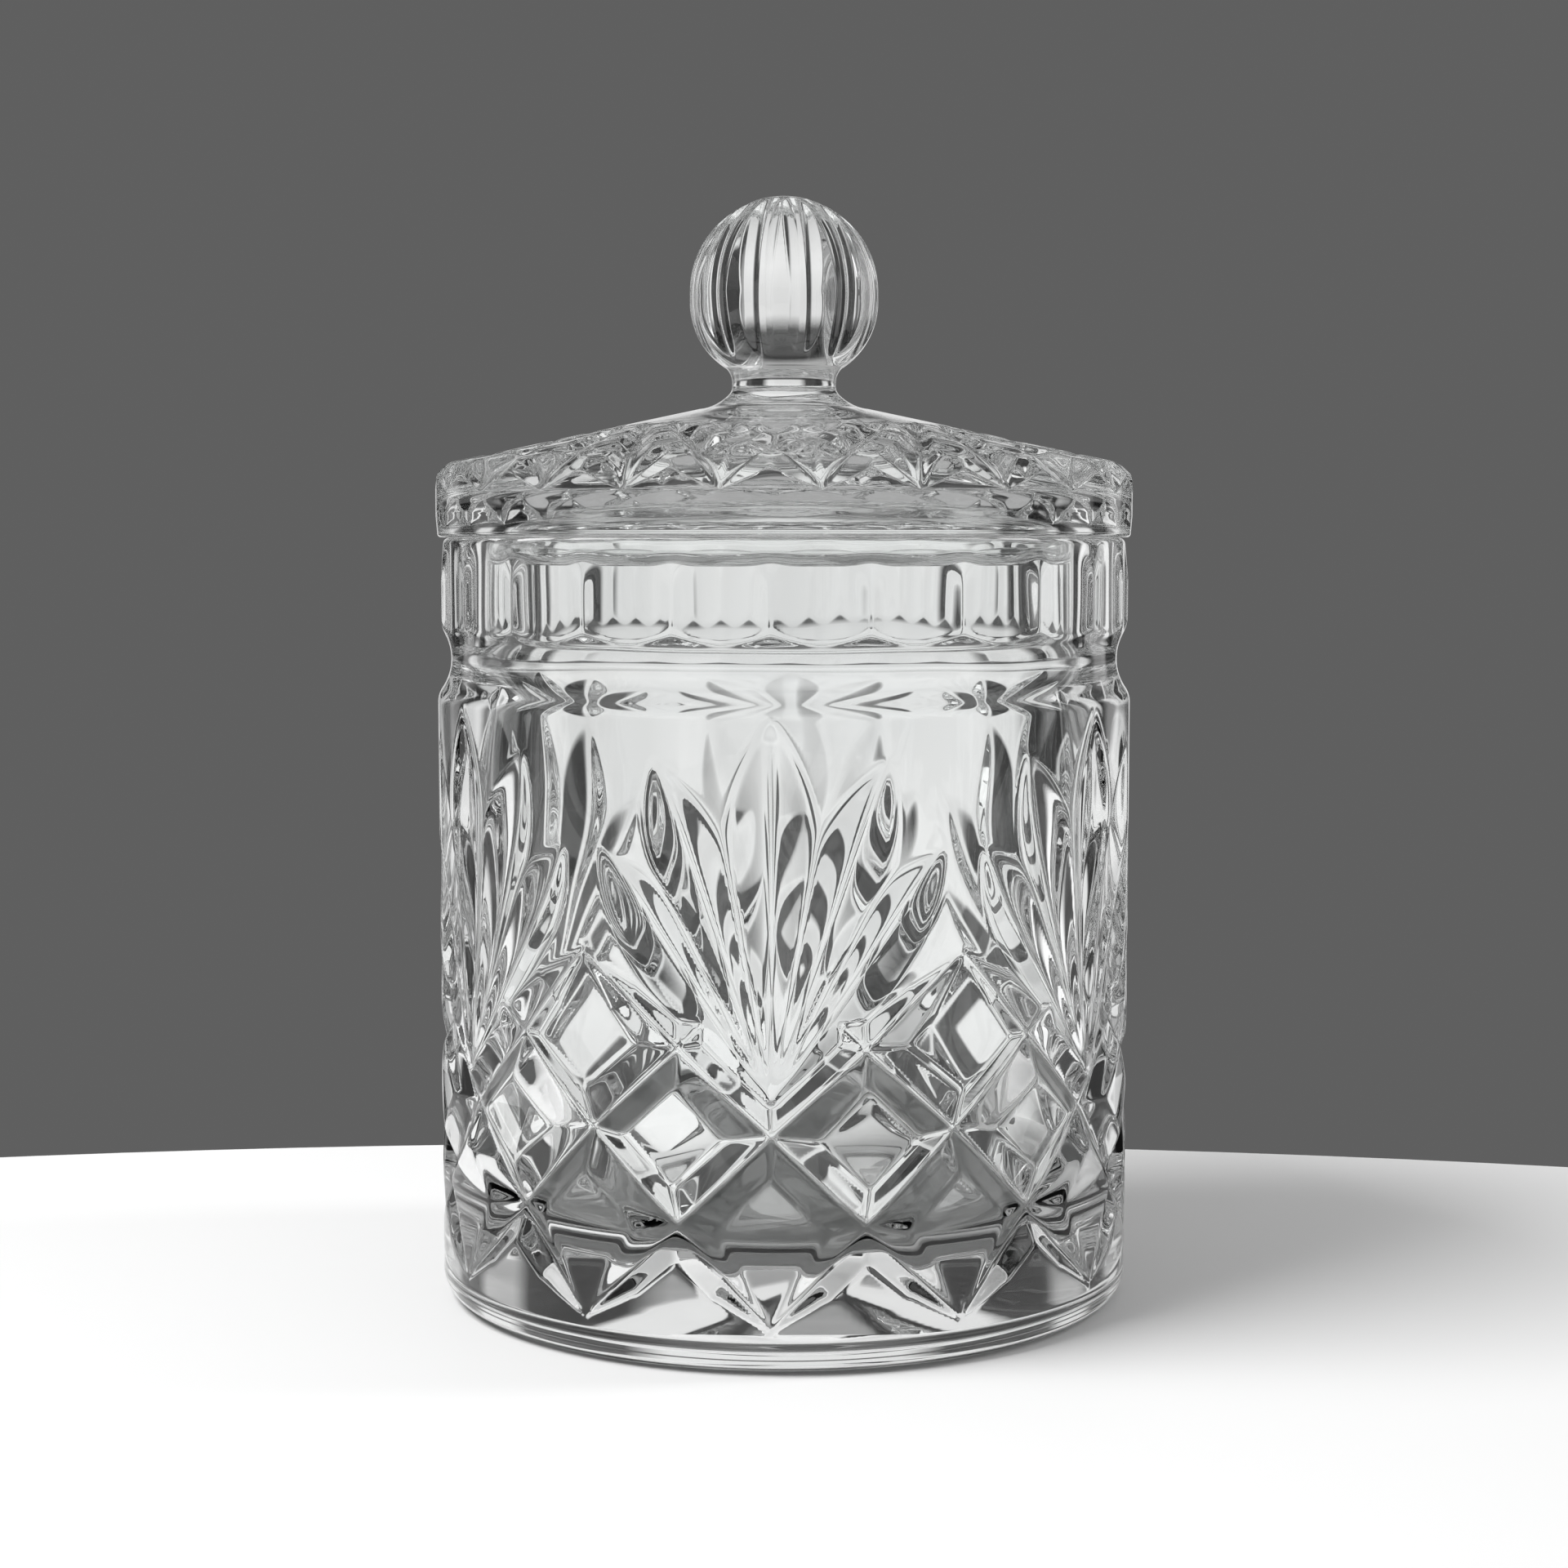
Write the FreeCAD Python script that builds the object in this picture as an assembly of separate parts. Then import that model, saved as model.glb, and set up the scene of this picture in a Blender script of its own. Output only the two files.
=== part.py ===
import FreeCAD, Part
import math
import os

# Lidded powder jar in pressed clear glass. Millimetres, +Z up.
# Origin: centre of the foot ring, on the table. The middle blade of one fan faces -Y.

V = FreeCAD.Vector

# Jar body
wall_radius = 50.0
foot_outer_radius = 46.2
foot_inner_radius = 42.5
foot_recess = 1.3
heel_height = 4.6
waist_radius = 48.07
waist_height = 92.4
waist_curve = 7.5
shoulder_curve = 3.5
collar_radius = 49.85
collar_taper_height = 103.4
rim_radius = 49.2
rim_height = 109.65
rim_edge = 1.1
bore_radius = 44.0
floor_height = 12.0
floor_corner = 9.0

# Cut pattern on the body, repeated six times
sectors = 6
sector_step = 360.0 / sectors
row_heights = {"A": 55.4, "B": 43.0, "C": 31.6, "D": 19.3, "E": 6.5}
cell_angle = 15.0
groove_depth = 2.1
groove_lean = 61.0
fan_foot_height = 36.3
fan_tips = [(0.0, 86.2), (17.5, 80.5), (-17.5, 80.5), (26.0, 68.4), (-26.0, 68.4)]
fan_depths = [2.15, 1.9, 1.9, 1.75, 1.75]
fan_lean = 69.0
fan_shape = [(0.0, 0.30), (0.25, 0.55), (0.5, 0.82), (0.7, 1.0), (0.86, 0.78), (0.95, 0.38), (1.02, -0.12)]

# Thumb flutes round the collar
flute_count = 24
flute_curve = 60.0
flute_floor_radius = 49.03

# Lid
lid_radius = 50.1
lid_rim_top = 118.1
cone_outer_radius = 48.4
cone_outer_height = 120.2
cone_slope = 0.217
neck_foot_radius = 12.6
neck_radius = 7.4
flange_radius = 43.2
flange_bore = 39.4
flange_bottom = 105.9
flange_edge = 1.7
lid_roof_radius = 35.5
lid_roof_height = 116.3
lid_roof_top = 122.2

# Cuts on the lid cone: two families of 24, crossing to make diamonds
lid_cut_count = 24
lid_cut_offset = 19.1
lid_cut_lean = 55.0
lid_cut_shape = [(49.0, 5.3), (46.3, 3.8), (43.0, 2.45), (40.0, 1.95), (37.0, 1.75), (31.0, 1.55), (25.0, 1.25),
                 (19.0, 0.8), (13.5, -0.15)]

# Knob
knob_radius = 13.53
knob_upper_centre = 144.85
knob_lower_centre = 143.9
knob_flutes = 12
knob_flute_curve = 7.0
knob_flute_depth = 0.6
knob_flute_reach = 48.0
knob_flute_tilt = 10.0
knob_joint_height = 131.7


def edge_path(start, steps):
    # Profile in the XZ plane: a step of one point is a line, of two points an arc through the first.
    edges = []
    here = V(start[0], 0, start[1])
    for step in steps:
        points = [V(r, 0, z) for r, z in step]
        if len(points) == 1:
            edges.append(Part.LineSegment(here, points[0]).toShape())
        else:
            edges.append(Part.Arc(here, points[0], points[1]).toShape())
        here = points[-1]
    return edges


def turned(start, steps):
    wire = Part.Wire(edge_path(start, steps))
    face = Part.Face(wire)
    return face.revolve(V(0, 0, 0), V(0, 0, 1), 360)


def arc_between(centre, radius, first, last):
    # Middle and end point of an arc given by its centre and two angles in degrees.
    points = []
    for angle in ((first + last) / 2.0, last):
        turn = math.radians(angle)
        points.append((centre[0] + radius * math.cos(turn), centre[1] + radius * math.sin(turn)))
    return points


def tangent_angle(outer_radius):
    # Angle at which a convex curve below or above the waist meets the hollow curve of the waist.
    across = waist_radius + waist_curve - (outer_radius - shoulder_curve)
    return math.degrees(math.acos(across / (waist_curve + shoulder_curve)))


def jar_blank():
    lower_turn = tangent_angle(wall_radius)
    upper_turn = tangent_angle(collar_radius)
    reach = waist_curve + shoulder_curve
    lower_centre = (wall_radius - shoulder_curve, waist_height - reach * math.sin(math.radians(lower_turn)))
    upper_centre = (collar_radius - shoulder_curve, waist_height + reach * math.sin(math.radians(upper_turn)))
    waist_centre = (waist_radius + waist_curve, waist_height)
    steps = [
        [(foot_inner_radius - 1.5, foot_recess)],
        [(foot_inner_radius, 0.0)],
        [(foot_outer_radius, 0.0)],
        [(foot_outer_radius + 2.75, 1.2), (wall_radius - 0.05, heel_height)],
        [(wall_radius, heel_height + 3.5)],
        [(wall_radius, lower_centre[1])],
        arc_between(lower_centre, shoulder_curve, 0.0, lower_turn),
        arc_between(waist_centre, waist_curve, 180.0 + lower_turn, 180.0 - upper_turn),
        arc_between(upper_centre, shoulder_curve, -upper_turn, 0.0),
        [(collar_radius, collar_taper_height)],
        [(rim_radius, rim_height - rim_edge)],
        [(rim_radius - rim_edge * 0.3, rim_height - rim_edge * 0.3), (rim_radius - rim_edge, rim_height)],
        [(bore_radius + rim_edge, rim_height)],
        [(bore_radius + rim_edge * 0.3, rim_height - rim_edge * 0.3), (bore_radius, rim_height - rim_edge)],
        [(bore_radius, floor_height + floor_corner)],
        [(bore_radius - floor_corner * 0.3, floor_height + floor_corner * 0.3),
         (bore_radius - floor_corner, floor_height)],
        [(0.0, floor_height)],
        [(0.0, foot_recess)],
    ]
    return turned((0.0, foot_recess), steps)


def v_cut(points, normals, depths, lean):
    # A V-shaped cut that follows points on a surface; a depth below zero lifts the keel clear of it.
    margin = 1.2
    spread = math.tan(math.radians(lean))
    wires = []
    for i, point in enumerate(points):
        ahead = points[min(i + 1, len(points) - 1)]
        behind = points[max(i - 1, 0)]
        across = normals[i].cross(ahead.sub(behind))
        across.normalize()
        keel = point - normals[i] * depths[i]
        top = point + normals[i] * margin
        reach = across * ((depths[i] + margin) * spread)
        wires.append(Part.makePolygon([keel, top + reach, top - reach, keel]))
    return Part.makeLoft(wires, True, True)


def wall_normal(angle):
    # Angles are counted from the middle of a fan at -Y, positive to the right seen from outside.
    turn = math.radians(angle)
    return V(math.sin(turn), -math.cos(turn), 0)


def wall_cut(stations, lean):
    points = []
    normals = []
    depths = []
    for angle, height, depth in stations:
        normal = wall_normal(angle)
        points.append(normal * wall_radius + V(0, 0, height))
        normals.append(normal)
        depths.append(depth)
    return v_cut(points, normals, depths, lean)


def between(first, last, share):
    return first + (last - first) * share


def lattice_stations(start_angle, rows, side):
    # A groove climbing one cell sideways for each row, shallow at both ends.
    stations = []
    last = len(rows) - 1
    for i in range(last):
        for share in (0.0, 0.5):
            angle = start_angle + side * cell_angle * (i + share)
            height = between(row_heights[rows[i]], row_heights[rows[i + 1]], share)
            stations.append([angle, height, groove_depth])
    stations.append([start_angle + side * cell_angle * last, row_heights[rows[last]], groove_depth])
    stations[0][2] = -0.1
    stations[1][2] = groove_depth * 0.7
    return stations


def lattice_cuts(centre):
    cuts = []
    for side in (1, -1):
        rising = lattice_stations(centre - side * 30.0, "EDCBA", side)
        rising[-2][2] = groove_depth * 0.62
        rising[-1][2] = -0.1
        cuts.append(wall_cut(rising, groove_lean))
        crossing = lattice_stations(centre, "EDCB", side)
        end = crossing[-1]
        crossing.append([end[0] + side * 4.0, end[1] + 3.2, groove_depth * 0.5])
        crossing.append([end[0] + side * 7.0, end[1] + 5.6, -0.1])
        cuts.append(wall_cut(crossing, groove_lean))
    return cuts


def fan_cuts(centre):
    cuts = []
    for (tip_angle, tip_height), depth in zip(fan_tips, fan_depths):
        stations = []
        for share, part in fan_shape:
            angle = centre + tip_angle * share
            stations.append((angle, between(fan_foot_height, tip_height, share), depth * part))
        cuts.append(wall_cut(stations, fan_lean))
    return cuts


def collar_flutes():
    cuts = []
    for i in range(flute_count):
        outward = wall_normal((i + 0.5) * 360.0 / flute_count)
        axis = outward * (flute_floor_radius + flute_curve)
        cuts.append(Part.makeCylinder(flute_curve, 22.0, axis + V(0, 0, waist_height - 1.0), V(0, 0, 1)))
    return cuts


def cut_away(blank, cuts):
    # The glass that is left: chips that come loose between crossing cuts are thrown away.
    return max(blank.cut(cuts).Solids, key=lambda piece: piece.Volume)


def make_jar():
    cuts = collar_flutes()
    for i in range(sectors):
        centre = i * sector_step
        cuts += lattice_cuts(centre)
        cuts += fan_cuts(centre)
    return cut_away(jar_blank(), cuts)


def cone_height(radius):
    return cone_outer_height + (cone_outer_radius - radius) * cone_slope


def lid_blank():
    rest = rim_height
    steps = [
        [(flange_radius, rest)],
        [(lid_radius - 0.7, rest)],
        [(lid_radius - 0.3, rest + 0.2), (lid_radius - 0.2, rest + 0.6)],
        [(lid_radius, rest + 3.0)],
        [(lid_radius, lid_rim_top)],
        [(lid_radius - 0.45, lid_rim_top + 1.4), (cone_outer_radius, cone_outer_height)],
        [(neck_foot_radius, cone_height(neck_foot_radius))],
        [(9.7, 128.85), (neck_radius + 0.7, 130.0)],
        [(neck_radius + 0.15, 130.8), (neck_radius + 0.05, knob_joint_height)],
        [(0.0, knob_joint_height)],
        [(0.0, lid_roof_top)],
        [(6.0, lid_roof_top)],
        [(lid_roof_radius, lid_roof_height)],
        [(38.5, 114.3), (flange_bore, rest)],
        [(flange_bore, flange_bottom + flange_edge)],
        [(flange_bore + flange_edge * 0.3, flange_bottom + flange_edge * 0.3),
         (flange_bore + flange_edge, flange_bottom)],
        [(flange_radius - flange_edge, flange_bottom)],
    ]
    start_arc = [(flange_radius - flange_edge * 0.3, flange_bottom + flange_edge * 0.3),
                 (flange_radius, flange_bottom + flange_edge)]
    return turned((flange_radius - flange_edge, flange_bottom), [start_arc] + steps)


def knob_blank():
    steps = [
        [(neck_radius + 0.05, knob_joint_height)],
        [(neck_radius + 0.25, 132.9), (neck_radius + 0.9, 133.9)],
        [(11.9, 137.5), (knob_radius, knob_lower_centre)],
        [(knob_radius, knob_upper_centre)],
        arc_between((0.0, knob_upper_centre), knob_radius, 0.0, 90.0),
        [(0.0, knob_joint_height)],
    ]
    return turned((0.0, knob_joint_height), steps)


def cone_cut(start_angle, side):
    # Runs from the rim edge in towards the neck, passing the axis at a fixed distance.
    turn = math.radians(start_angle)
    sweep = math.acos(lid_cut_offset / lid_radius)
    foot = turn + side * sweep
    outward = V(math.sin(foot), -math.cos(foot), 0)
    along = V(math.sin(foot - side * math.pi / 2.0), -math.cos(foot - side * math.pi / 2.0), 0)
    tilt = math.atan(cone_slope)
    points = []
    normals = []
    depths = []
    for distance, depth in lid_cut_shape:
        flat = outward * lid_cut_offset + along * distance
        radius = flat.Length
        points.append(flat + V(0, 0, cone_height(radius)))
        normals.append(flat * (math.sin(tilt) / radius) + V(0, 0, math.cos(tilt)))
        depths.append(depth)
    return v_cut(points, normals, depths, lid_cut_lean)


def knob_cuts():
    # Long hollow flutes like orange segments: each is part of a ring flatter than the ball.
    middle = (knob_upper_centre + knob_lower_centre) / 2.0
    reach = math.radians(knob_flute_reach)
    keel = knob_radius - knob_flute_depth
    end_x = knob_radius * math.cos(reach)
    end_z = knob_radius * math.sin(reach)
    shift = (end_x ** 2 + end_z ** 2 - keel ** 2) / (2.0 * (end_x - keel))
    ring = keel - shift + knob_flute_curve
    cuts = []
    for i in range(knob_flutes):
        tube = Part.makeTorus(ring, knob_flute_curve, V(0, 0, 0), V(0, 0, 1), 0, 360, 130)
        tube.rotate(V(0, 0, 0), V(0, 0, 1), -65)
        tube.rotate(V(0, 0, 0), V(1, 0, 0), 90)
        tube.translate(V(shift, 0, 0))
        tube.rotate(V(0, 0, 0), V(0, 1, 0), -knob_flute_tilt)
        tube.translate(V(0, 0, middle))
        tube.rotate(V(0, 0, 0), V(0, 0, 1), (i + 0.5) * 360.0 / knob_flutes)
        cuts.append(tube)
    return cuts


def make_lid():
    cuts = []
    for i in range(lid_cut_count):
        for side in (1, -1):
            cuts.append(cone_cut((i + 0.5) * 360.0 / lid_cut_count, side))
    knob = cut_away(knob_blank(), knob_cuts())
    return cut_away(lid_blank(), cuts).fuse(knob)


def save(shape, name):
    solid = shape.Solids[0]
    solid.exportStep(os.path.join("parts", name + ".step"))
    box = solid.BoundBox
    print(name, "solids", len(shape.Solids), "valid", solid.isValid(), "faces", len(solid.Faces))
    print("   size", round(box.XLength, 2), round(box.YLength, 2), round(box.ZMin, 2), round(box.ZMax, 2))


os.makedirs("parts", exist_ok=True)
save(make_jar(), "jar")
save(make_lid(), "lid")
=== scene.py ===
import math

import bpy
import numpy as np
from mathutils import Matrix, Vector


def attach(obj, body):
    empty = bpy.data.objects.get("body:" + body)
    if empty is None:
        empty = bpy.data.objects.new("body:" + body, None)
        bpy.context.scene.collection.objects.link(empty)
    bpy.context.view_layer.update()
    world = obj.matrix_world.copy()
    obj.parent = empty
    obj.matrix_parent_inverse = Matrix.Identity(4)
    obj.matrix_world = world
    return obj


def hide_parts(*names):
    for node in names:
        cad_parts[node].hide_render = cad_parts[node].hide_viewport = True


# Lidded powder jar in pressed clear glass. Shapes are worked out in millimetres in the CAD frame,
# then placed in metres. Angles are in degrees from the middle of the fan that faces -Y.

# MM is a millimetre in metres, and COLUMNS the points round each ring. The steps are the usual spacings of
# the rings on the wall, the waist, the collar and the rounded edges.
MM = 0.001
COLUMNS = 720
WALL_STEP = 0.45
WAIST_STEP = 0.35
COLLAR_STEP = 0.8
EDGE_STEP = 0.22

# Jar body, as in the CAD model
WALL_RADIUS = 50.0
FOOT_OUTER = 46.2
FOOT_INNER = 42.5
FOOT_RECESS = 1.3
SOLE_HEIGHT = 0.01
HEEL_HEIGHT = 4.6
WAIST_RADIUS = 48.07
WAIST_HEIGHT = 92.4
WAIST_CURVE = 7.5
SHOULDER_CURVE = 3.5
COLLAR_RADIUS = 49.85
COLLAR_TAPER = 103.4
RIM_RADIUS = 49.2
RIM_HEIGHT = 109.65
RIM_EDGE = 1.1
BORE_RADIUS = 44.0
FLOOR_HEIGHT = 12.0
FLOOR_CORNER = 9.0

# Straight grooves on the body. ROWS are the heights at which they cross. GROOVE_FADE is the depth where
# a groove runs out, just clear of the wall, and GROOVE_TAIL is (degrees, rise, depth) past its last crossing.
SECTORS = 6
SECTOR_ANGLE = 360.0 / SECTORS
ROWS = {"A": 55.4, "B": 43.0, "C": 31.6, "D": 19.3, "E": 6.5}
CELL_ANGLE = 15.0
GROOVE_DEPTH = 2.1
GROOVE_LEAN = 61.0
GROOVE_FADE = -0.1
GROOVE_LOW = GROOVE_DEPTH * 0.7
GROOVE_HIGH = GROOVE_DEPTH * 0.62
GROOVE_TAIL = [(4.0, 3.2, GROOVE_DEPTH * 0.5), (7.0, 5.6, GROOVE_FADE)]

# Fan blades as (angle of the tip, height of the tip, depth). Their sides are slightly steeper than in the
# CAD model and their keels rounder. WIDEST is a share of the length, and START the share of the depth at
# the foot. Below the foot that share falls by RUNOUT for each millimetre, down to LOWEST.
FAN_FOOT = 36.3
FAN_BLADES = [
    (0.0, 86.2, 2.15),
    (17.5, 80.5, 1.9), (-17.5, 80.5, 1.9),
    (26.0, 68.4, 1.75), (-26.0, 68.4, 1.75),
]
FAN_LEAN = 67.0
FAN_ROUNDNESS = 0.6
BLADE_WIDEST = 0.70
BLADE_START = 0.30
BLADE_RUNOUT = 0.6
BLADE_LOWEST = -3.0

# Hollow flutes round the collar
FLUTES = 24
FLUTE_CURVE = 60.0
FLUTE_FLOOR = 49.03
FLUTE_MARGIN = 0.6
FLUTE_SOFTNESS = 0.25

# Lid
LID_RADIUS = 50.1
LID_RIM_TOP = 118.1
CONE_RADIUS = 48.4
CONE_HEIGHT = 120.2
CONE_SLOPE = 0.217
NECK_FOOT = 12.6
NECK_RADIUS = 7.4
FLANGE_RADIUS = 43.2
FLANGE_BORE = 39.4
FLANGE_BOTTOM = 105.9
FLANGE_EDGE = 1.7
ROOF_RADIUS = 35.5
ROOF_HEIGHT = 116.3
ROOF_TOP = 122.2
SEAT_GAP = 0.04

# V cuts on the lid, straight lines that pass the axis at LID_CUT_OFFSET. Depths are (distance along, depth).
LID_CUTS = 24
LID_CUT_OFFSET = 19.1
LID_CUT_LEAN = 55.0
LID_CUT_DEPTHS = [
    (-15.0, -3.0), (13.5, -0.15), (19.0, 0.8), (25.0, 1.25), (31.0, 1.55), (37.0, 1.75),
    (40.0, 1.95), (43.0, 2.45), (46.3, 3.8), (49.0, 5.3), (53.0, 7.8),
]
BAND_RINGS = 12

# Knob
KNOB_RADIUS = 13.53
KNOB_UPPER = 144.85
KNOB_LOWER = 143.9
KNOB_MIDDLE = (KNOB_UPPER + KNOB_LOWER) / 2.0
KNOB_NECK = 131.7
KNOB_FOOT = 133.9
KNOB_FLUTES = 12
KNOB_FLUTE_CURVE = 7.0
KNOB_FLUTE_DEPTH = 0.6
KNOB_FLUTE_REACH = 48.0
KNOB_FLUTE_TILT = 10.0
KNOB_FLUTE_SOFTNESS = 0.08

# Softening. EDGE_MIDDLE is how far the middle of a rounded edge stands back from its corner, as a share
# of its size. UNCUT is a radius or height that no cut reaches.
EDGE_SOFTNESS = 0.35
KEEL_SOFTNESS = 0.12
EDGE_MIDDLE = 0.3
UNCUT = 999.0

# Slow unevenness of pressed glass: whole waves round the jar, radians for each millimetre up it, and
# (seed, rms size) for the inner wall and the roof of the lid. It fades out near the floor, rim and flange.
RIPPLE_WAVES = 14
RIPPLE_AROUND = (2, 15)
RIPPLE_UP = (0.03, 0.28)
INNER_RIPPLE = (7, 0.07)
INNER_RIPPLE_START = 30.0
INNER_RIPPLE_FADE = 10.0
RIM_CLEARANCE = 4.0
ROOF_RIPPLE = (11, 0.015)
ROOF_RIPPLE_END = 38.0
ROOF_RIPPLE_FADE = 4.0

# Glass
GLASS_INDEX = 1.52
GLASS_ROUGHNESS = 0.003
GLASS_COOL = (0.955, 0.972, 0.975, 1.0)
GLASS_WARM = (0.985, 0.985, 0.975, 1.0)
JAR_SMEAR_SCALE = 55.0
LID_SMEAR_SCALE = 64.0
WAVE_SCALE = 30.0
WAVE_STRENGTH = 0.006
WAVE_DEPTH = 0.0004

# Table, a round one whose far edge passes close behind the jar, in metres
TABLE_RADIUS = 0.62
TABLE_CENTRE = -0.525
TABLE_SIDES = 256
TABLE_WHITE = 0.86
TABLE_ROUGHNESS = 0.6

# Softboxes round the room, as (share of a turn, brightness), fading into dark gaps. 0 and 1 are in
# front of the jar, 0.25 is on its left, 0.5 straight behind it and 0.75 on its right.
SOFTBOXES = [
    (0.0, 0.12), (0.045, 0.12), (0.06, 1.1), (0.10, 1.1), (0.115, 0.12), (0.20, 0.12), (0.215, 0.9),
    (0.235, 0.9), (0.25, 0.05), (0.29, 0.05), (0.30, 1.0), (0.325, 1.0), (0.335, 0.04), (0.355, 0.04),
    (0.365, 0.85), (0.385, 0.85), (0.395, 0.04), (0.445, 0.04), (0.46, 0.85), (0.528, 0.9),
    (0.543, 0.04), (0.59, 0.04), (0.60, 0.95), (0.625, 0.95), (0.635, 0.04), (0.66, 0.04),
    (0.67, 1.1), (0.70, 1.1), (0.71, 0.05), (0.78, 0.05), (0.80, 0.7), (1.0, 0.12),
]
# LIFT is the brightness from straight down, 0, to straight up, 1. The plain ceiling takes over from the
# softboxes between the two values of CEILING_RISE, on that same scale.
LIFT = [
    (0.0, 0.3), (0.15, 0.7), (0.44, 1.0), (0.52, 0.9), (0.60, 0.85), (0.65, 0.1), (0.78, 0.1),
    (0.82, 0.9), (1.0, 0.9),
]
CEILING_RISE = (0.75, 0.77)
CEILING = 0.45
BACKDROP = 0.115

# Lights as (name, place, target, size, power)
LIGHTS = [
    ("key_above_left", (-0.45, -0.25, 0.75), (0, 0, 0.05), (0.5, 0.4), 9.0),
    ("rim_right", (0.7, 0.1, 0.45), (0, 0, 0.08), (0.15, 0.5), 2.0),
]
LIGHT_BOUNCES = 16

# Camera, in metres and degrees
CAMERA_DISTANCE = 0.4158
CAMERA_HEIGHT = 0.110
CAMERA_TURN = 2.0
CAMERA_DIP = 4.98
CAMERA_LENS = 65.6


# ---- small helpers -------------------------------------------------------------------------------

def soft_min(a, b, width):
    meet = np.maximum(width - np.abs(a - b), 0.0) / width
    return np.minimum(a, b) - meet * meet * width * 0.25


def soft_abs(x, width):
    return np.sqrt(x * x + width * width) - width


def wrap(angle):
    return (angle + 180.0) % 360.0 - 180.0


def fade(distance, width):
    return np.clip(distance / width, 0.0, 1.0)


def smooth_table(pairs, count=400):
    """A smooth curve through the pairs, as two arrays for np.interp."""
    x = np.array([p[0] for p in pairs])
    y = np.array([p[1] for p in pairs])
    slope = np.gradient(y, x)
    fine = np.linspace(x[0], x[-1], count)
    i = np.clip(np.searchsorted(x, fine, side="right") - 1, 0, len(x) - 2)
    width = x[i + 1] - x[i]
    t = (fine - x[i]) / width
    h = (2 * t ** 3 - 3 * t ** 2 + 1) * y[i] + (t ** 3 - 2 * t ** 2 + t) * width * slope[i]
    h += (-2 * t ** 3 + 3 * t ** 2) * y[i + 1] + (t ** 3 - t ** 2) * width * slope[i + 1]
    return fine, h


def line(start, end, step):
    count = max(1, int(math.ceil(math.dist(start, end) / step)))
    t = np.linspace(0.0, 1.0, count + 1)[1:, None]
    return np.array(start) + (np.array(end) - np.array(start)) * t


def arc(centre, radius, first, last, step):
    count = max(3, int(math.ceil(abs(math.radians(last - first)) * radius / step)))
    turn = np.radians(np.linspace(first, last, count + 1)[1:])
    return np.stack([centre[0] + radius * np.cos(turn), centre[1] + radius * np.sin(turn)], 1)


def arc_through(start, middle, end, step):
    (ax, ay), (bx, by), (cx, cy) = start, middle, end
    d = 2 * (ax * (by - cy) + bx * (cy - ay) + cx * (ay - by))
    a, b, c = ax * ax + ay * ay, bx * bx + by * by, cx * cx + cy * cy
    ox = (a * (by - cy) + b * (cy - ay) + c * (ay - by)) / d
    oy = (a * (cx - bx) + b * (ax - cx) + c * (bx - ax)) / d
    first = math.degrees(math.atan2(ay - oy, ax - ox))
    last = first + wrap(math.degrees(math.atan2(cy - oy, cx - ox)) - first)
    return arc((ox, oy), math.hypot(ax - ox, ay - oy), first, last, step)


def quarter(corner, across, up, spacing, ends_level):
    """Step of trace that rounds a corner off; across and up are its size, with signs."""
    middle = (corner[0] + across * EDGE_MIDDLE, corner[1] + up * EDGE_MIDDLE)
    end = (corner[0] + across, corner[1]) if ends_level else (corner[0], corner[1] + up)
    return [middle, end], spacing


def trace(start, steps):
    """Points along a profile. A step is (points, spacing of the rings): one point is a line, two an arc."""
    parts = [np.array([start])]
    for points, spacing in steps:
        here = tuple(parts[-1][-1])
        if len(points) == 1:
            parts.append(line(here, points[0], spacing))
        else:
            parts.append(arc_through(here, points[0], points[1], spacing))
    return np.concatenate(parts)


def add_glass(name, radius, height, material):
    """Closed mesh from rings: radius and height are rows x columns, and the end rows shrink to a point."""
    rows, columns = radius.shape
    turn = np.radians(np.arange(columns) * 360.0 / columns)
    x = radius * np.sin(turn)
    y = -radius * np.cos(turn)
    points = np.stack([x, y, height], 2).reshape(-1, 3)
    points = np.concatenate([points, [[0.0, 0.0, height[0].mean()], [0.0, 0.0, height[-1].mean()]]]) * MM
    first, last = rows * columns, rows * columns + 1
    i, j = np.meshgrid(np.arange(rows - 1), np.arange(columns), indexing="ij")
    k = (j + 1) % columns
    quads = np.stack([i * columns + j, i * columns + k, (i + 1) * columns + k, (i + 1) * columns + j], 2)
    faces = quads.reshape(-1, 4).tolist()
    j = np.arange(columns)
    k = (j + 1) % columns
    faces += np.stack([np.full(columns, first), k, j], 1).tolist()
    top = (rows - 1) * columns
    faces += np.stack([np.full(columns, last), top + j, top + k], 1).tolist()
    mesh = bpy.data.meshes.new(name)
    mesh.from_pydata(points.tolist(), [], faces)
    mesh.polygons.foreach_set("use_smooth", np.ones(len(mesh.polygons), bool))
    mesh.materials.append(material)
    mesh.update()
    piece = bpy.data.objects.new(name, mesh)
    bpy.context.scene.collection.objects.link(piece)
    return piece


def ripple(angle, height, seed, size):
    """Unevenness in millimetres, which meets itself after a full turn."""
    rng = np.random.default_rng(seed)
    total = np.zeros(np.broadcast(angle, height).shape)
    for _ in range(RIPPLE_WAVES):
        around = rng.integers(*RIPPLE_AROUND)
        up = rng.uniform(*RIPPLE_UP)
        phase = rng.uniform(0, 2 * math.pi, 2)
        total += np.cos(np.radians(angle) * around + phase[0]) * np.cos(height * up + phase[1])
    return total * size / math.sqrt(RIPPLE_WAVES / 4)


# ---- jar -----------------------------------------------------------------------------------------

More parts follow.
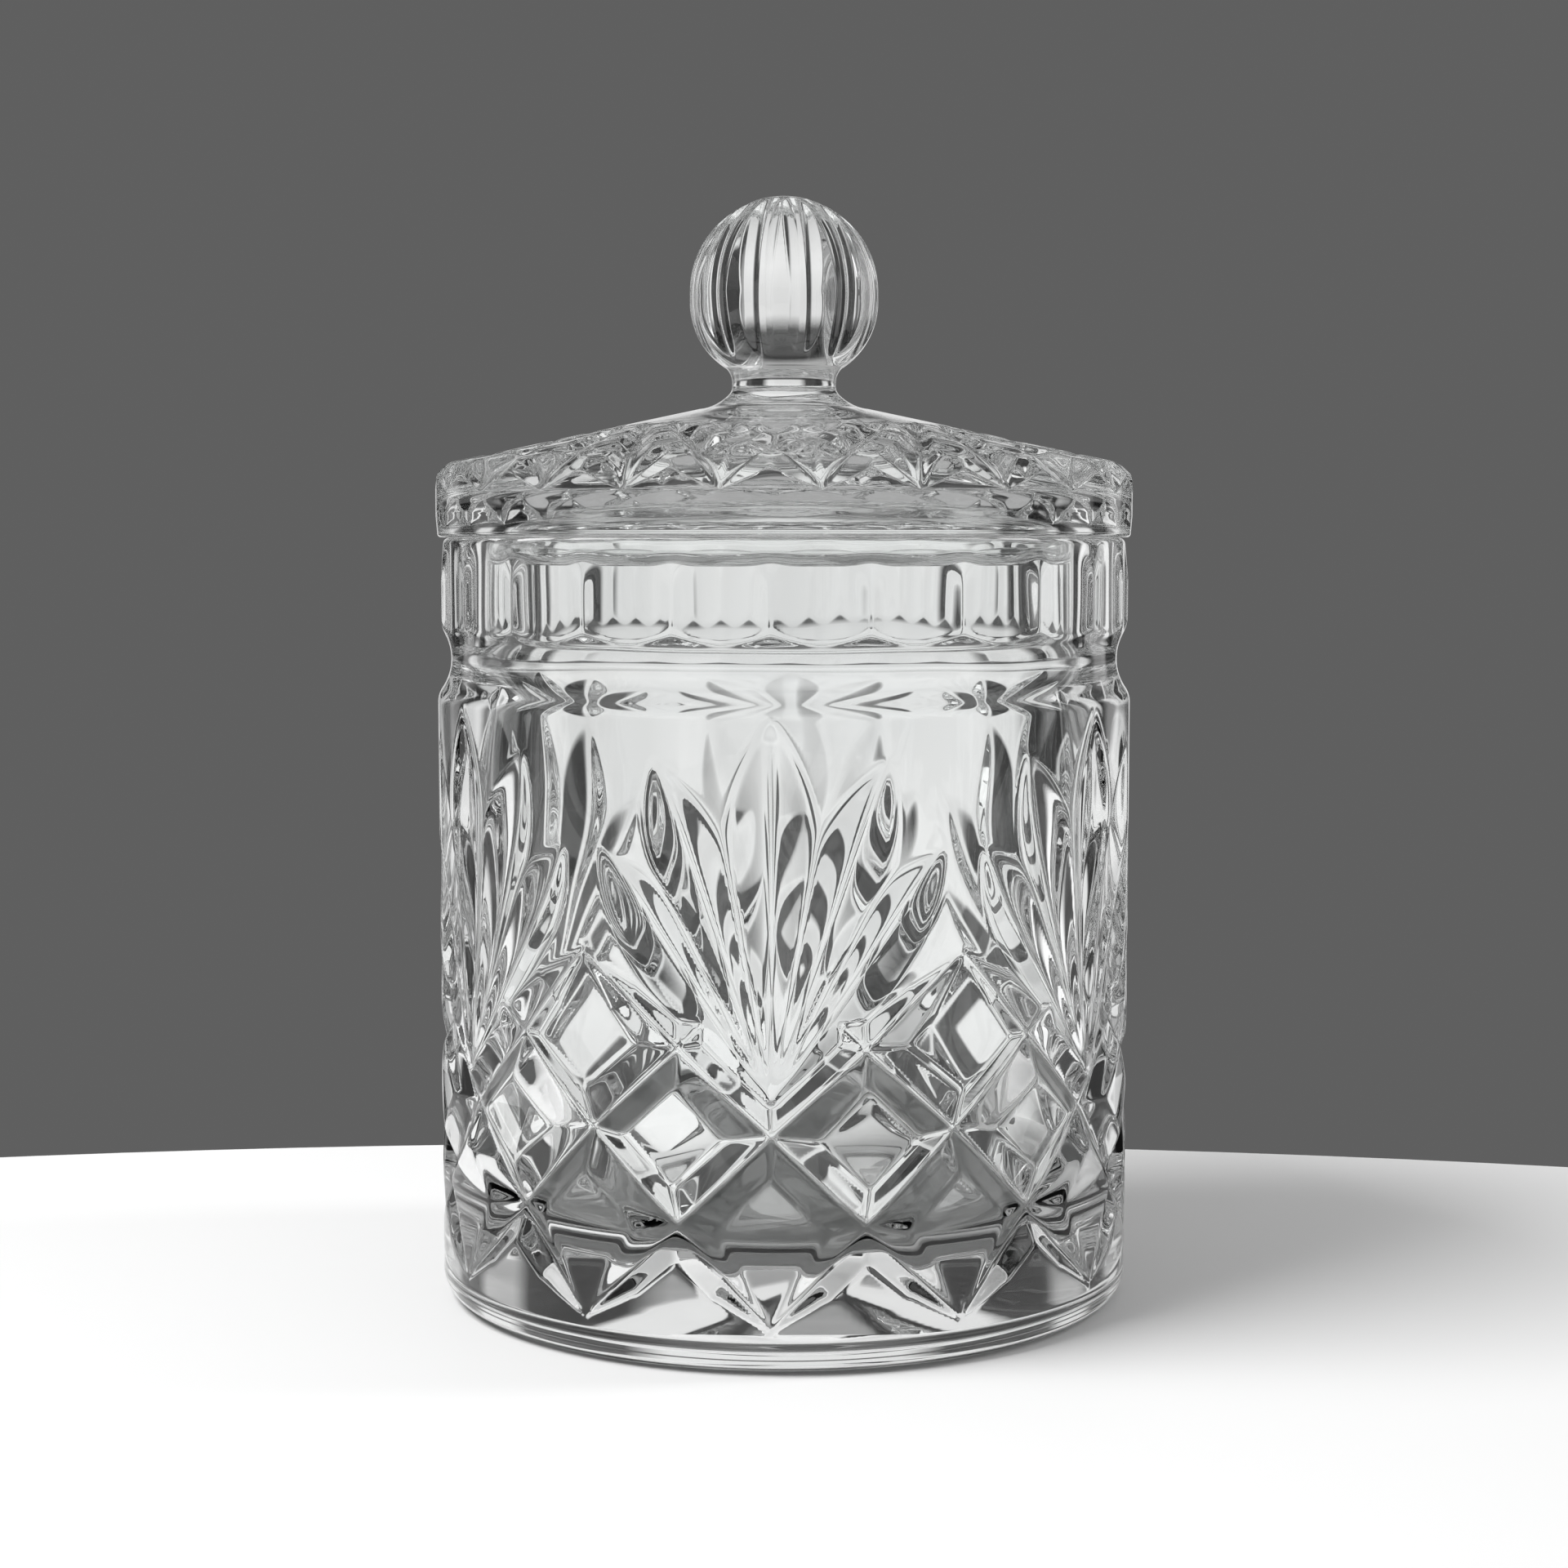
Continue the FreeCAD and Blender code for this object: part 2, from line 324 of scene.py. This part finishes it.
def groove_radius(angle, height, stations):
    """Radius of a V cut along stations of (angle, height, depth) on the wall."""
    spread = 1.0 / math.tan(math.radians(GROOVE_LEAN))
    cut = np.full(angle.shape, UNCUT)
    for (a0, h0, d0), (a1, h1, d1) in zip(stations[:-1], stations[1:]):
        u = np.radians(wrap(angle - a0)) * WALL_RADIUS
        v = height - h0
        du = math.radians(a1 - a0) * WALL_RADIUS
        dv = h1 - h0
        t = np.clip((u * du + v * dv) / (du * du + dv * dv), 0.0, 1.0)
        off = np.hypot(u - t * du, v - t * dv)
        depth = d0 + (d1 - d0) * t
        cut = np.minimum(cut, WALL_RADIUS - depth + soft_abs(off, KEEL_SOFTNESS) * spread)
    return cut


def blade_radius(angle, height, centre, tip, top, depth):
    """Radius of one leaf-shaped cut of a fan, deepest at its widest place."""
    spread = 1.0 / math.tan(math.radians(FAN_LEAN))
    u = np.radians(wrap(angle - centre)) * WALL_RADIUS
    v = height - FAN_FOOT
    du = math.radians(tip) * WALL_RADIUS
    dv = top - FAN_FOOT
    length = math.hypot(du, dv)
    along = (u * du + v * dv) / length
    off = (u * dv - v * du) / length
    s = along / length
    rise = BLADE_WIDEST / math.sqrt(1.0 - BLADE_START)
    fall = 1.0 - BLADE_WIDEST
    share = 1.0 - ((s - BLADE_WIDEST) / np.where(s < BLADE_WIDEST, rise, fall)) ** 2
    before = np.maximum(-along, 0.0)
    share = np.where(s < 0.0, BLADE_START - before * BLADE_RUNOUT, share)
    return WALL_RADIUS - depth * np.maximum(share, BLADE_LOWEST) + soft_abs(off, FAN_ROUNDNESS) * spread


def midway(a, b, depth):
    return [(a[0] + b[0]) / 2.0, (a[1] + b[1]) / 2.0, depth]


def lattice(start, rows, side, last):
    """Stations of a groove that climbs one cell sideways for each row and ends at the depth last."""
    stations = []
    for i, row in enumerate(rows):
        stations.append([start + side * CELL_ANGLE * i, ROWS[row], GROOVE_DEPTH])
    stations[0][2] = GROOVE_FADE
    stations[-1][2] = last
    stations.insert(1, midway(stations[0], stations[1], GROOVE_LOW))
    return stations


def body_cuts(angle, height):
    """Lowest radius left by all the cuts on the wall."""
    cut = np.full(angle.shape, UNCUT)
    for sector in range(SECTORS):
        centre = sector * SECTOR_ANGLE
        for side in (1, -1):
            rising = lattice(centre - side * SECTOR_ANGLE / 2.0, "EDCBA", side, GROOVE_FADE)
            rising.insert(-1, midway(rising[-2], rising[-1], GROOVE_HIGH))
            crossing = lattice(centre, "EDCB", side, GROOVE_DEPTH)
            end = crossing[-1]
            for around, up, depth in GROOVE_TAIL:
                crossing.append([end[0] + side * around, end[1] + up, depth])
            for stations in (rising, crossing):
                cut = soft_min(cut, groove_radius(angle, height, stations), EDGE_SOFTNESS)
        for tip, top, depth in FAN_BLADES:
            cut = soft_min(cut, blade_radius(angle, height, centre, tip, top, depth), EDGE_SOFTNESS)
    return cut


def flute_radius(angle):
    """Radius of the hollow thumb flutes round the collar."""
    step = 360.0 / FLUTES
    turn = np.radians((angle % step) - step / 2.0)
    reach = FLUTE_FLOOR + FLUTE_CURVE
    return reach * np.cos(turn) - np.sqrt(FLUTE_CURVE ** 2 - (reach * np.sin(turn)) ** 2)


def waist_turn(radius):
    """Angle at which the waist's hollow meets the rounding at the edge of a wall of this radius."""
    reach = WAIST_CURVE + SHOULDER_CURVE
    return math.degrees(math.acos((WAIST_RADIUS + WAIST_CURVE - radius + SHOULDER_CURVE) / reach))


def jar_profile():
    """Outside and inside of the jar, each as points of (radius, height)."""
    reach = WAIST_CURVE + SHOULDER_CURVE
    low_turn = waist_turn(WALL_RADIUS)
    high_turn = waist_turn(COLLAR_RADIUS)
    low = (WALL_RADIUS - SHOULDER_CURVE, WAIST_HEIGHT - reach * math.sin(math.radians(low_turn)))
    high = (COLLAR_RADIUS - SHOULDER_CURVE, WAIST_HEIGHT + reach * math.sin(math.radians(high_turn)))
    # Recess under the base, foot ring, heel and patterned wall
    outside = trace((6.0, FOOT_RECESS), [
        ([(FOOT_INNER - 1.5, FOOT_RECESS)], 9.0),
        ([(FOOT_INNER - 0.9, FOOT_RECESS - 0.25), (FOOT_INNER - 0.2, 0.2)], 0.3),
        ([(FOOT_INNER + 0.4, 0.0)], 0.4),
        ([(FOOT_OUTER, 0.0)], 1.5),
        ([(FOOT_OUTER + 2.75, 1.2), (WALL_RADIUS - 0.05, HEEL_HEIGHT)], WALL_STEP),
        ([(WALL_RADIUS, HEEL_HEIGHT + 3.5)], WALL_STEP),
        ([(WALL_RADIUS, low[1])], WALL_STEP),
    ])
    shoulder = arc(low, SHOULDER_CURVE, 0.0, low_turn, WAIST_STEP)
    hollow = (WAIST_RADIUS + WAIST_CURVE, WAIST_HEIGHT)
    waist = arc(hollow, WAIST_CURVE, 180.0 + low_turn, 180.0 - high_turn, WAIST_STEP)
    collar = arc(high, SHOULDER_CURVE, -high_turn, 0.0, WAIST_STEP)
    # Collar, rim and the first of the bore
    top = trace((COLLAR_RADIUS, high[1]), [
        ([(COLLAR_RADIUS, COLLAR_TAPER)], COLLAR_STEP),
        ([(RIM_RADIUS, RIM_HEIGHT - RIM_EDGE)], COLLAR_STEP),
        quarter((RIM_RADIUS, RIM_HEIGHT), -RIM_EDGE, -RIM_EDGE, EDGE_STEP, True),
        ([(BORE_RADIUS + RIM_EDGE, RIM_HEIGHT)], COLLAR_STEP),
        quarter((BORE_RADIUS, RIM_HEIGHT), RIM_EDGE, -RIM_EDGE, EDGE_STEP, False),
    ])[1:]
    inside = trace((BORE_RADIUS, RIM_HEIGHT - RIM_EDGE), [
        ([(BORE_RADIUS, FLOOR_HEIGHT + FLOOR_CORNER)], 1.6),
        quarter((BORE_RADIUS, FLOOR_HEIGHT), -FLOOR_CORNER, FLOOR_CORNER, 0.6, True),
        ([(4.0, FLOOR_HEIGHT)], 2.5),
    ])[1:]
    return np.concatenate([outside, shoulder, waist, collar, top]), inside


def make_jar(material):
    outside, inside = jar_profile()
    angle = np.arange(COLUMNS) * 360.0 / COLUMNS
    angle, height = np.meshgrid(angle, outside[:, 1])
    radius = np.repeat(outside[:, :1], COLUMNS, 1)
    wall = (radius > FOOT_OUTER) & (height < WAIST_HEIGHT) & (height > SOLE_HEIGHT)
    cut = soft_min(radius, body_cuts(angle, height), EDGE_SOFTNESS)
    radius = np.where(wall, np.minimum(radius, cut), radius)
    collar = (radius > FLUTE_FLOOR - FLUTE_MARGIN) & (height > WAIST_HEIGHT)
    fluted = soft_min(radius, flute_radius(angle), FLUTE_SOFTNESS)
    radius = np.where(collar, fluted, radius)
    inner_angle, inner_height = np.meshgrid(angle[0], inside[:, 1])
    inner_radius = np.repeat(inside[:, :1], COLUMNS, 1)
    on_wall = fade(inner_radius - INNER_RIPPLE_START, INNER_RIPPLE_FADE)
    below_rim = fade(RIM_HEIGHT - RIM_CLEARANCE - inner_height, INNER_RIPPLE_FADE)
    inner_radius = inner_radius + ripple(inner_angle, inner_height, *INNER_RIPPLE) * on_wall * below_rim
    return add_glass("jar_glass", np.concatenate([radius, inner_radius]),
                     np.concatenate([height, inner_height]), material)


# ---- lid -----------------------------------------------------------------------------------------

def cone_height(radius):
    return CONE_HEIGHT + (CONE_RADIUS - radius) * CONE_SLOPE


def lid_cut_height(angle, radius):
    """Height left by the two families of crossing V cuts on the lid."""
    spread = 1.0 / math.tan(math.radians(LID_CUT_LEAN))
    table = smooth_table(LID_CUT_DEPTHS)
    sweep = math.degrees(math.acos(LID_CUT_OFFSET / LID_RADIUS))
    x = radius * np.sin(np.radians(angle))
    y = -radius * np.cos(np.radians(angle))
    cut = np.full(angle.shape, UNCUT)
    for i in range(LID_CUTS):
        for side in (1, -1):
            foot = math.radians((i + 0.5) * 360.0 / LID_CUTS + side * sweep)
            ox, oy = math.sin(foot), -math.cos(foot)
            ax, ay = math.sin(foot - side * math.pi / 2), -math.cos(foot - side * math.pi / 2)
            along = x * ax + y * ay
            off = x * ox + y * oy - LID_CUT_OFFSET
            depth = np.interp(along, table[0], table[1])
            keel = cone_height(np.hypot(along, LID_CUT_OFFSET)) - depth
            cut = soft_min(cut, keel + soft_abs(off, KEEL_SOFTNESS) * spread, EDGE_SOFTNESS)
    return cut


def knob_flute_depth(angle, radius, height):
    """How far each point of the knob is pushed in by the leaf-shaped flutes."""
    reach = math.radians(KNOB_FLUTE_REACH)
    keel = KNOB_RADIUS - KNOB_FLUTE_DEPTH
    end_x, end_z = KNOB_RADIUS * math.cos(reach), KNOB_RADIUS * math.sin(reach)
    shift = (end_x ** 2 + end_z ** 2 - keel ** 2) / (2.0 * (end_x - keel))
    ring = keel - shift + KNOB_FLUTE_CURVE
    step = 360.0 / KNOB_FLUTES
    turn = np.radians(angle % step - step / 2.0)
    out = radius * np.cos(turn)
    side = radius * np.sin(turn)
    tilt = math.radians(KNOB_FLUTE_TILT)
    up = height - KNOB_MIDDLE
    level_x = out * math.cos(tilt) + up * math.sin(tilt)
    level_z = -out * math.sin(tilt) + up * math.cos(tilt)
    q = np.hypot(level_x - shift, level_z) - ring
    hollow = np.sqrt(np.maximum(KNOB_FLUTE_CURVE ** 2 - side ** 2, 0.0))
    return -soft_min(-(q + hollow), np.zeros_like(q), KNOB_FLUTE_SOFTNESS)


def lid_profiles():
    """The lid's underside and rim, its cone, its neck and its knob, each as points of (radius, height)."""
    rest = RIM_HEIGHT + SEAT_GAP
    # Roof, locating flange, seat and the first of the rim band
    below = trace((5.0, ROOF_TOP), [
        ([(6.0, ROOF_TOP)], 1.0),
        ([(ROOF_RADIUS, ROOF_HEIGHT)], 2.0),
        ([(38.5, 114.3), (FLANGE_BORE, rest)], 0.5),
        ([(FLANGE_BORE, FLANGE_BOTTOM + FLANGE_EDGE)], 0.6),
        quarter((FLANGE_BORE, FLANGE_BOTTOM), FLANGE_EDGE, FLANGE_EDGE, EDGE_STEP, True),
        ([(FLANGE_RADIUS - FLANGE_EDGE, FLANGE_BOTTOM)], 0.4),
        quarter((FLANGE_RADIUS, FLANGE_BOTTOM), -FLANGE_EDGE, FLANGE_EDGE, EDGE_STEP, False),
        ([(FLANGE_RADIUS, rest)], 0.6),
        ([(LID_RADIUS - 0.7, rest)], 0.9),
        ([(LID_RADIUS - 0.3, rest + 0.2), (LID_RADIUS - 0.2, rest + 0.6)], 0.2),
        ([(LID_RADIUS, rest + 3.0)], 0.6),
    ])
    cone = trace((LID_RADIUS, LID_RIM_TOP), [
        ([(LID_RADIUS - 0.45, LID_RIM_TOP + 1.4), (CONE_RADIUS, CONE_HEIGHT)], EDGE_STEP),
        ([(NECK_FOOT, cone_height(NECK_FOOT))], 0.42),
    ])
    neck = trace((NECK_FOOT, cone_height(NECK_FOOT)), [
        ([(9.7, 128.85), (NECK_RADIUS + 0.7, 130.0)], 0.25),
        ([(NECK_RADIUS + 0.15, 130.8), (NECK_RADIUS + 0.05, KNOB_NECK)], 0.2),
        ([(NECK_RADIUS + 0.25, 132.9), (NECK_RADIUS + 0.9, KNOB_FOOT)], 0.2),
    ])[1:]
    ball = trace((NECK_RADIUS + 0.9, KNOB_FOOT), [
        ([(11.9, 137.5), (KNOB_RADIUS, KNOB_LOWER)], 0.3),
        ([(KNOB_RADIUS, KNOB_UPPER)], 0.4),
    ])[1:]
    crown = arc((0.0, KNOB_UPPER), KNOB_RADIUS, 0.0, 88.0, 0.4)
    return below, cone, neck, np.concatenate([ball, crown])


def make_lid(material):
    below, cone, neck, ball = lid_profiles()
    angle = np.arange(COLUMNS) * 360.0 / COLUMNS

    def spread(profile):
        a, h = np.meshgrid(angle, profile[:, 1])
        return a, np.repeat(profile[:, :1], COLUMNS, 1), h

    a, cone_r, cone_h = spread(cone)
    cone_h = np.minimum(cone_h, soft_min(cone_h, lid_cut_height(a, cone_r), EDGE_SOFTNESS))
    share = np.linspace(0.0, 1.0, BAND_RINGS + 2)[1:-1, None]
    band_h = below[-1, 1] + (cone_h[0] - below[-1, 1]) * share
    band_r = np.full(band_h.shape, LID_RADIUS)
    _, below_r, below_h = spread(below)
    _, neck_r, neck_h = spread(neck)
    a, ball_r, ball_h = spread(ball)
    push = knob_flute_depth(a, ball_r, ball_h)
    size = np.hypot(ball_r, ball_h - KNOB_MIDDLE)
    ball_r = ball_r - push * ball_r / size
    ball_h = ball_h - push * (ball_h - KNOB_MIDDLE) / size
    radius = np.concatenate([below_r, band_r, cone_r, neck_r, ball_r])
    height = np.concatenate([below_h, band_h, cone_h, neck_h, ball_h])
    roof = fade(ROOF_RIPPLE_END - below_r, ROOF_RIPPLE_FADE)
    height[:len(below)] += ripple(angle, below_r, *ROOF_RIPPLE) * roof
    return add_glass("lid_glass", radius, height, material)


# ---- materials -----------------------------------------------------------------------------------

def add_node(tree, kind, **inputs):
    """New node with some of its inputs set; an underscore stands for a space in an input's name."""
    node = tree.nodes.new(kind)
    for name, value in inputs.items():
        node.inputs[name.replace("_", " ")].default_value = value
    return node


def grey(value):
    return (value, value, value, 1.0)


def glass_material(name, smear_scale):
    """Clear glass with noise in its tint, its faint roughness and its fainter waves."""
    material = bpy.data.materials.new(name)
    material.use_nodes = True
    tree = material.node_tree
    tree.nodes.clear()
    link = tree.links.new
    output = tree.nodes.new("ShaderNodeOutputMaterial")
    shader = add_node(tree, "ShaderNodeBsdfPrincipled", IOR=GLASS_INDEX, Transmission_Weight=1.0)
    place = tree.nodes.new("ShaderNodeTexCoord")
    smear = add_node(tree, "ShaderNodeTexNoise", Scale=smear_scale, Detail=4.0, Roughness=0.6)
    link(place.outputs["Object"], smear.inputs["Vector"])
    rough = add_node(tree, "ShaderNodeMapRange", From_Min=0.45, From_Max=0.85, To_Max=GLASS_ROUGHNESS)
    link(smear.outputs["Fac"], rough.inputs["Value"])
    link(rough.outputs["Result"], shader.inputs["Roughness"])
    tint = tree.nodes.new("ShaderNodeValToRGB")
    tint.color_ramp.elements[0].color = GLASS_COOL
    tint.color_ramp.elements[1].color = GLASS_WARM
    link(smear.outputs["Fac"], tint.inputs["Fac"])
    link(tint.outputs["Color"], shader.inputs["Base Color"])
    wave = add_node(tree, "ShaderNodeTexNoise", Scale=WAVE_SCALE, Detail=1.0, Roughness=0.4)
    link(place.outputs["Object"], wave.inputs["Vector"])
    bump = add_node(tree, "ShaderNodeBump", Strength=WAVE_STRENGTH, Distance=WAVE_DEPTH)
    link(wave.outputs["Fac"], bump.inputs["Height"])
    link(bump.outputs["Normal"], shader.inputs["Normal"])
    link(shader.outputs["BSDF"], output.inputs["Surface"])
    return material


def table_material():
    material = bpy.data.materials.new("table_white")
    material.use_nodes = True
    shader = material.node_tree.nodes["Principled BSDF"]
    shader.inputs["Base Color"].default_value = grey(TABLE_WHITE)
    shader.inputs["Roughness"].default_value = TABLE_ROUGHNESS
    return material


# ---- stage ---------------------------------------------------------------------------------------

def add_table():
    turn = np.linspace(0.0, 2 * math.pi, TABLE_SIDES, endpoint=False)
    points = [(TABLE_RADIUS * math.cos(t), TABLE_CENTRE + TABLE_RADIUS * math.sin(t), 0.0) for t in turn]
    mesh = bpy.data.meshes.new("table_top")
    mesh.from_pydata(points, [], [list(range(TABLE_SIDES))])
    mesh.materials.append(table_material())
    table = bpy.data.objects.new("table_top", mesh)
    bpy.context.scene.collection.objects.link(table)


def set_ramp(node, stops):
    """Grey ramp from (position, brightness) pairs."""
    ramp = node.color_ramp
    while len(ramp.elements) < len(stops):
        ramp.elements.new(1.0)
    for element, (at, value) in zip(ramp.elements, stops):
        element.position = at
        element.color = grey(value)


def mix_colours(tree, kind, share, a, b):
    """Blend colour b over colour a, a node's output; share and b may be a value or a node's output."""
    node = tree.nodes.new("ShaderNodeMix")
    node.data_type = "RGBA"
    node.blend_type = kind
    tree.links.new(a, node.inputs["A"])
    for socket, value in (("Factor", share), ("B", b)):
        if isinstance(value, (float, tuple)):
            node.inputs[socket].default_value = value
        else:
            tree.links.new(value, node.inputs[socket])
    return node.outputs["Result"]


def add_world():
    """Plain grey backdrop for the camera, and a room of softboxes for the light and the glass."""
    world = bpy.data.worlds.new("studio")
    bpy.context.scene.world = world
    world.use_nodes = True
    tree = world.node_tree
    tree.nodes.clear()
    link = tree.links.new
    place = tree.nodes.new("ShaderNodeTexCoord")
    split = tree.nodes.new("ShaderNodeSeparateXYZ")
    link(place.outputs["Generated"], split.inputs["Vector"])
    azimuth = tree.nodes.new("ShaderNodeMath")
    azimuth.operation = "ARCTAN2"
    link(split.outputs["X"], azimuth.inputs[0])
    link(split.outputs["Y"], azimuth.inputs[1])
    turns = add_node(tree, "ShaderNodeMapRange", From_Min=-math.pi, From_Max=math.pi)
    link(azimuth.outputs["Value"], turns.inputs["Value"])
    rise = add_node(tree, "ShaderNodeMapRange", From_Min=-1.0, From_Max=1.0)
    link(split.outputs["Z"], rise.inputs["Value"])
    boxes = tree.nodes.new("ShaderNodeValToRGB")
    set_ramp(boxes, SOFTBOXES)
    link(turns.outputs["Result"], boxes.inputs["Fac"])
    ceiling = add_node(tree, "ShaderNodeMapRange", From_Min=CEILING_RISE[0], From_Max=CEILING_RISE[1])
    link(rise.outputs["Result"], ceiling.inputs["Value"])
    room = mix_colours(tree, "MIX", ceiling.outputs["Result"], boxes.outputs["Color"], grey(CEILING))
    lift = tree.nodes.new("ShaderNodeValToRGB")
    set_ramp(lift, LIFT)
    link(rise.outputs["Result"], lift.inputs["Fac"])
    room = mix_colours(tree, "MULTIPLY", 1.0, room, lift.outputs["Color"])
    rays = tree.nodes.new("ShaderNodeLightPath")
    lit = tree.nodes.new("ShaderNodeBackground")
    link(room, lit.inputs["Color"])
    seen = add_node(tree, "ShaderNodeBackground", Color=grey(BACKDROP))
    mix = tree.nodes.new("ShaderNodeMixShader")
    output = tree.nodes.new("ShaderNodeOutputWorld")
    link(rays.outputs["Is Camera Ray"], mix.inputs["Fac"])
    link(lit.outputs["Background"], mix.inputs[1])
    link(seen.outputs["Background"], mix.inputs[2])
    link(mix.outputs["Shader"], output.inputs["Surface"])


def add_area(name, place, target, size, power):
    """Soft light that the glass neither reflects nor refracts."""
    data = bpy.data.lights.new(name, "AREA")
    data.shape = "RECTANGLE"
    data.size, data.size_y = size
    data.energy = power
    light = bpy.data.objects.new(name, data)
    light.location = place
    aim = Vector(target) - Vector(place)
    light.rotation_euler = aim.to_track_quat("-Z", "Y").to_euler()
    light.visible_glossy = False
    light.visible_transmission = False
    bpy.context.scene.collection.objects.link(light)


def add_camera():
    """Slightly right of the fan's middle, looking a little down, with no roll."""
    turn = math.radians(CAMERA_TURN)
    data = bpy.data.cameras.new("camera")
    data.sensor_width = 36.0
    data.lens = CAMERA_LENS
    data.clip_start = 0.01
    camera = bpy.data.objects.new("camera", data)
    camera.location = (CAMERA_DISTANCE * math.sin(turn), -CAMERA_DISTANCE * math.cos(turn), CAMERA_HEIGHT)
    camera.rotation_euler = (math.radians(90.0 - CAMERA_DIP), 0.0, turn)
    bpy.context.scene.collection.objects.link(camera)
    bpy.context.scene.camera = camera


# ---- the scene -----------------------------------------------------------------------------------

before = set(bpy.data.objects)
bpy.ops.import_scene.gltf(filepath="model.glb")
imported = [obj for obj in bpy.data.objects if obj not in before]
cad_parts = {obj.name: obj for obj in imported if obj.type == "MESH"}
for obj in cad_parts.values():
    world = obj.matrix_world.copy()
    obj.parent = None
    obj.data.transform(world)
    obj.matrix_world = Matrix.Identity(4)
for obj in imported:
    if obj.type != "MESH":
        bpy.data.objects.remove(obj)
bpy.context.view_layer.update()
jar = make_jar(glass_material("glass_jar_clear", JAR_SMEAR_SCALE))
lid = make_lid(glass_material("glass_lid_clear", LID_SMEAR_SCALE))
for piece, node in ((jar, "jar"), (lid, "lid")):
    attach(piece, node)
    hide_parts(node)
add_table()
add_world()
for light in LIGHTS:
    add_area(*light)
add_camera()
scene = bpy.context.scene
scene.view_settings.view_transform = "Standard"
scene.cycles.max_bounces = LIGHT_BOUNCES
scene.cycles.transmission_bounces = LIGHT_BOUNCES
scene.cycles.glossy_bounces = LIGHT_BOUNCES
